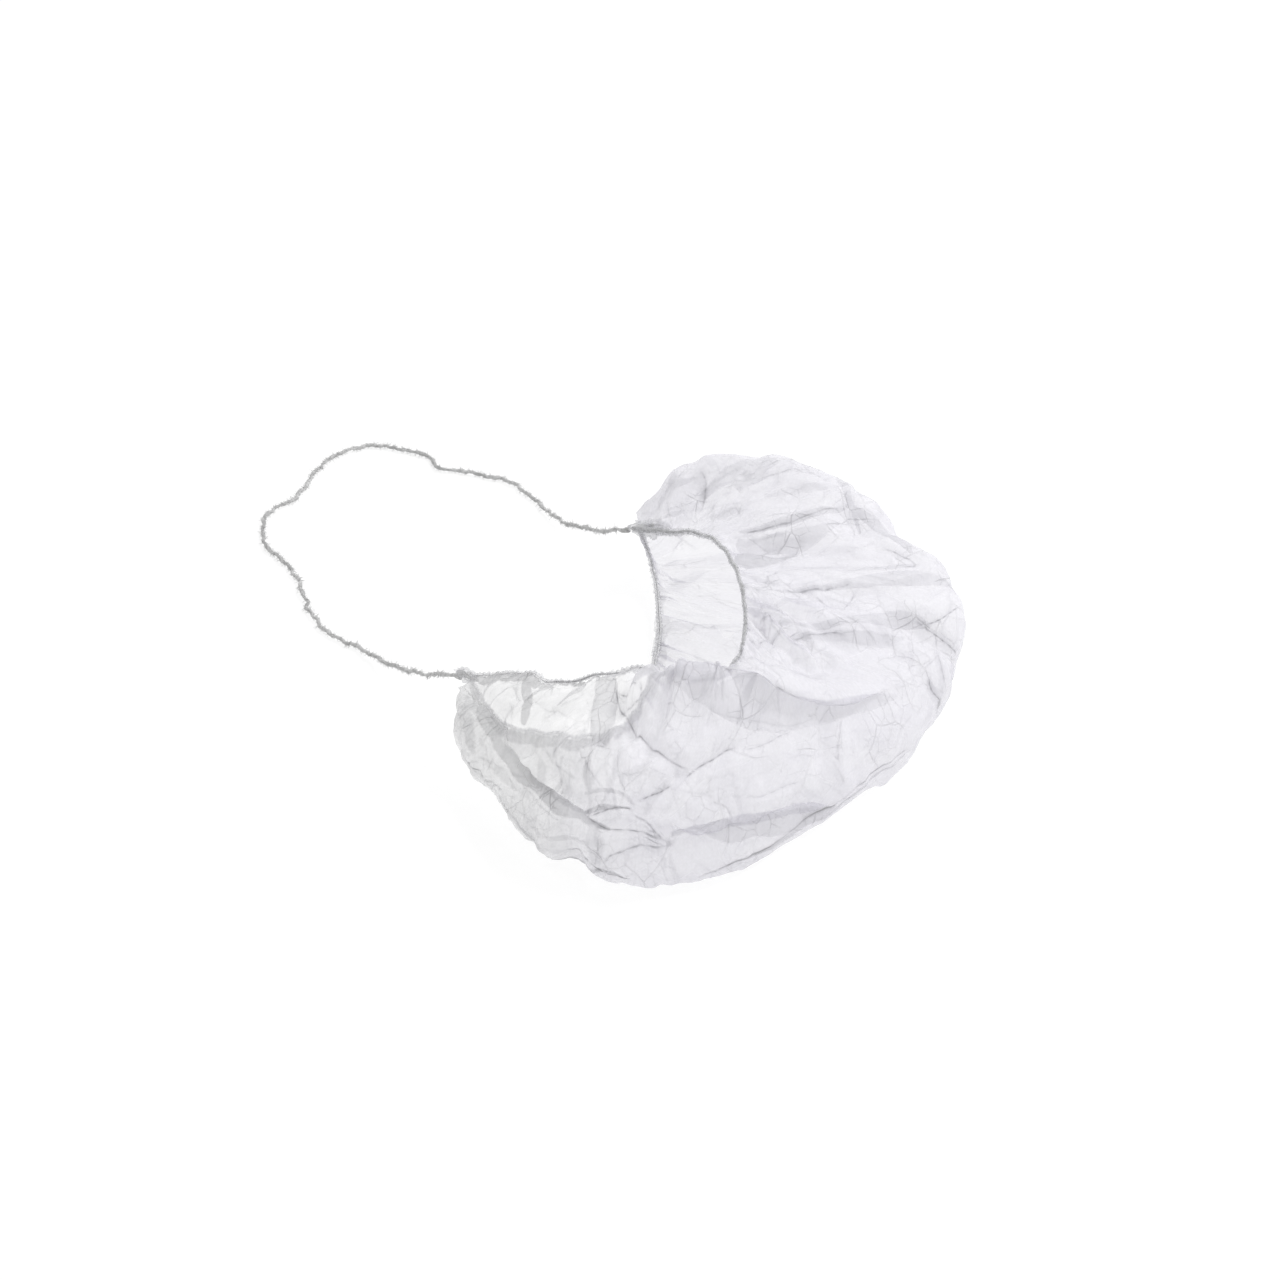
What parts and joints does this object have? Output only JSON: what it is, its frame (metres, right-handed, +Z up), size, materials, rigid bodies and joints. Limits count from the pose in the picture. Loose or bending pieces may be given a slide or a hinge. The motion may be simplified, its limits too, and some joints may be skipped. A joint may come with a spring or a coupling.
{
  "type": "disposable beard cover",
  "caption": "Disposable nonwoven beard cover with elastic hems and a slack head loop, lying on a flat surface.",
  "frame": {"origin": "on the flat underside of the pouch, midway between the two joins and 70 mm in front of them", "axes": "+Z up from the surface, -Y towards the wearer's front, +Y towards the head loop, +X towards the wearer's left"},
  "size_m": [0.1882, 0.2802, 0.059],
  "materials": {
    "fabric": "thin matt spunbond nonwoven, slightly see-through",
    "gathered_hem": "matt gathered nonwoven round elastic",
    "wrapped_elastic": "matt fibrous wrapped elastic"
  },
  "bodies": {
    "root": {"pouch": "fabric", "mouth_rim": "gathered_hem", "throat_rim": "gathered_hem", "right_join": "wrapped_elastic", "left_join": "wrapped_elastic", "head_loop": "wrapped_elastic"}
  },
  "joints": []
}
